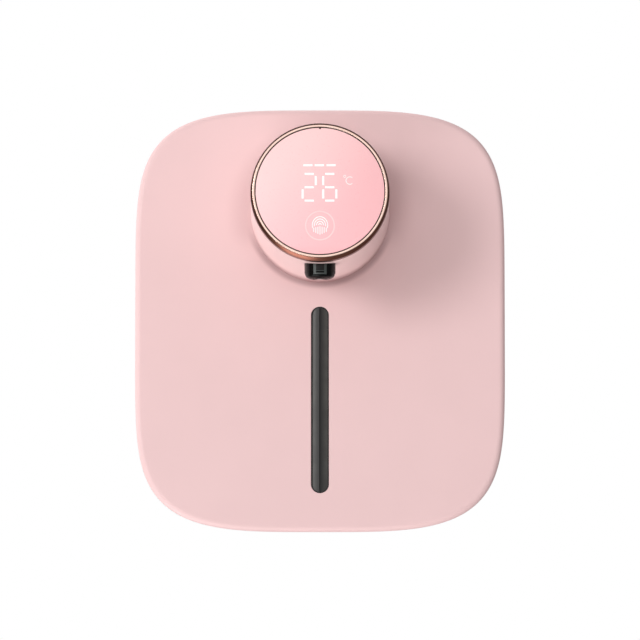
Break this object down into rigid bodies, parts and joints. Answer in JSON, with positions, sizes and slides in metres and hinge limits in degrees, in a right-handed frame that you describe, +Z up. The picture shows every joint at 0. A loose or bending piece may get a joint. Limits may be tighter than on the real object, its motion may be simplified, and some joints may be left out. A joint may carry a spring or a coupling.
{
  "type": "wall-mounted automatic foam soap dispenser",
  "caption": "Wall-mounted touch-free foam soap dispenser: rounded square body, round protruding head with temperature display, foam nozzle, level window and hook-on wall plate.",
  "frame": {"origin": "centre of the back face of the wall plate, at the middle of the body in width and height", "axes": "+Y points into the wall, -Y towards the user; +Z is up; +X is to the right as the user sees the front"},
  "size_m": [0.112, 0.093, 0.1286],
  "materials": {
    "blush_shell": "fine matte moulded plastic, blush pink",
    "blush_lens": "polished tinted acrylic",
    "rose_gold": "rose gold vacuum plating",
    "black_plastic": "black moulded plastic",
    "smoked_window": "smoked polycarbonate",
    "tank_plastic": "frosted clear plastic",
    "hose_silicone": "translucent silicone",
    "grey_rubber": "grey silicone rubber",
    "blush_rubber": "blush silicone rubber",
    "white_plastic": "white moulded plastic",
    "led_diffuser": "white light-emitting diffuser",
    "steel": "plated steel",
    "magnet": "sintered ferrite",
    "copper": "enamelled copper",
    "brass": "brass",
    "circuit_board": "green solder mask",
    "battery_wrap": "blue shrink wrap"
  },
  "bodies": {
    "wall_bracket": {"wall_plate": "white_plastic", "adhesive_pad": "grey_rubber"},
    "dispenser": {"rear_cover": "blush_shell", "wall_bumpers": "grey_rubber", "rear_cover_screws": "steel", "front_shell": "blush_shell", "level_window": "smoked_window", "window_seal": "black_plastic", "tank_shell": "tank_plastic", "tank_cover": "tank_plastic", "fill_collar": "white_plastic", "lid_pin": "steel", "suction_filter": "white_plastic", "suction_hose": "hose_silicone", "head_tube": "blush_shell", "head_screws": "steel", "bezel_ring": "rose_gold", "display_lens": "blush_lens", "display_mask": "black_plastic", "display_board": "circuit_board", "led_elements": "led_diffuser", "touch_spring": "steel", "nozzle_shroud": "black_plastic", "nozzle_spout": "white_plastic", "mesh_cartridge": "white_plastic", "foam_screens": "steel", "sensor_window": "smoked_window", "sensor_board": "circuit_board", "ir_diodes": "black_plastic", "foam_hose": "hose_silicone", "motor_can": "steel", "motor_magnets": "magnet", "motor_endcap": "black_plastic", "motor_terminals": "brass", "motor_brushes": "copper", "motor_bushings": "brass", "diaphragm": "grey_rubber", "valve_plate": "white_plastic", "valves": "grey_rubber", "pump_housing": "black_plastic", "pump_cover": "black_plastic", "pump_screws": "steel", "pump_bracket": "white_plastic", "battery_cell": "battery_wrap", "battery_cradle": "black_plastic", "main_board": "circuit_board", "board_parts": "black_plastic", "board_screws": "steel", "usb_socket": "steel", "wiring": "grey_rubber"},
    "lid": {"refill_lid": "blush_shell", "lid_gasket": "grey_rubber"},
    "port_flap": {"port_plug": "blush_rubber"},
    "rotor": {"motor_shaft": "steel", "armature": "steel", "windings": "copper", "commutator": "copper", "eccentric_wheel": "white_plastic", "wobble_pin": "steel"},
    "wobbler": {"wobble_plate": "black_plastic"}
  },
  "joints": [
    {"name": "unhook_slide", "type": "slide", "parent": "wall_bracket", "child": "dispenser", "axis": [0, 0, 1], "range_m": [0, 0.021]},
    {"name": "lid_hinge", "type": "hinge", "parent": "dispenser", "child": "lid", "pos_m": [0, -0.0086, 0.0585], "axis": [-1, 0, 0], "range_deg": [0, 100]},
    {"name": "port_hinge", "type": "hinge", "parent": "dispenser", "child": "port_flap", "pos_m": [0.05257, -0.02212, 0.018], "axis": [0.1305, -0.9914, 0], "range_deg": [0, 110]},
    {"name": "motor_spin", "type": "hinge", "parent": "dispenser", "child": "rotor", "pos_m": [-0.0295, -0.024, 0.0208], "axis": [0, 0, 1], "continuous": true, "deforming": ["diaphragm"]},
    {"name": "wobble_tilt", "type": "hinge", "parent": "rotor", "child": "wobbler", "pos_m": [-0.0295, -0.024, 0.0208], "axis": [0.0872, 0, 0.9962], "continuous": true}
  ],
  "couplings": [
    {"joint": "wobble_tilt", "follows": "motor_spin", "ratio": -1}
  ]
}
